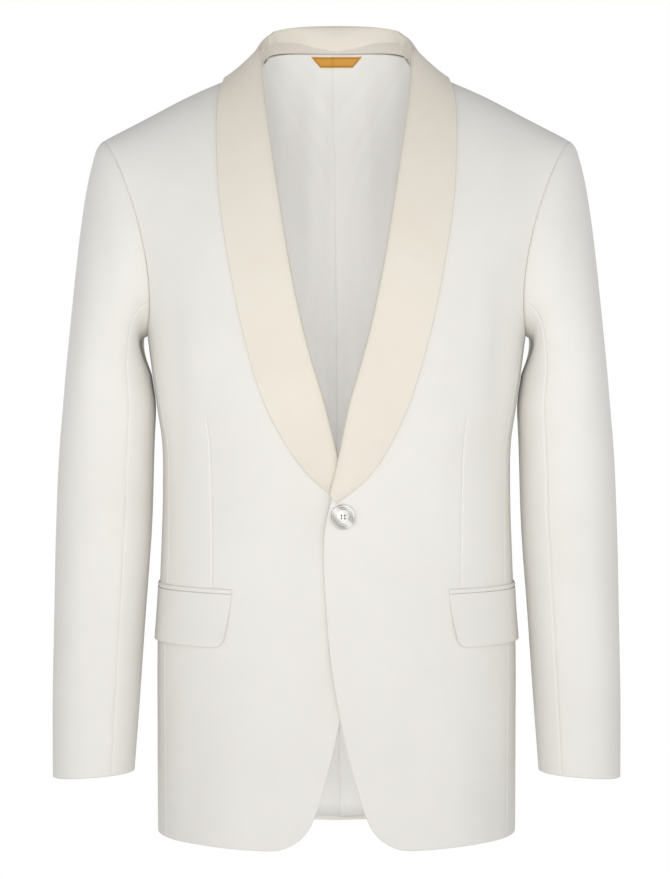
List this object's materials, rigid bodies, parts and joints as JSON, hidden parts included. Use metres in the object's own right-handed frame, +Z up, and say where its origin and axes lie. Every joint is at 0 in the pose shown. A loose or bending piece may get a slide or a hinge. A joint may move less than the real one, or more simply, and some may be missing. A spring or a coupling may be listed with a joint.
{
  "type": "tuxedo jacket",
  "caption": "Hollow dinner jacket with a contrasting shawl collar, a button front, flap pockets and long sleeves, shaped as worn.",
  "frame": {"origin": "midway between the two neck points, where the shoulder seams meet the collar", "axes": "+Z up along the body, -Y to the front, +X to the wearer's left"},
  "size_m": [0.5442, 0.2618, 0.7959],
  "materials": {
    "ivory_cloth": "smooth off-white worsted wool",
    "cream_cloth": "cream grosgrain silk, low sheen",
    "lining": "off-white satin-backed lining",
    "label": "woven gold label, blank",
    "pearl": "polished mother-of-pearl",
    "thread": "off-white sewing thread"
  },
  "bodies": {
    "root": {"back_left": "ivory_cloth", "back_right": "ivory_cloth", "button": "pearl", "button_thread": "thread", "collar_left": "cream_cloth", "collar_right": "cream_cloth", "front_left": "ivory_cloth", "front_right": "ivory_cloth", "lining_left": "lining", "lining_right": "lining", "neck_label": "label", "pocket_flap_left": "ivory_cloth", "pocket_flap_right": "ivory_cloth", "pocket_jet_left": "ivory_cloth", "pocket_jet_right": "ivory_cloth", "side_left": "ivory_cloth", "side_right": "ivory_cloth", "top_sleeve_left": "ivory_cloth", "top_sleeve_right": "ivory_cloth", "under_sleeve_left": "ivory_cloth", "under_sleeve_right": "ivory_cloth"}
  },
  "joints": []
}
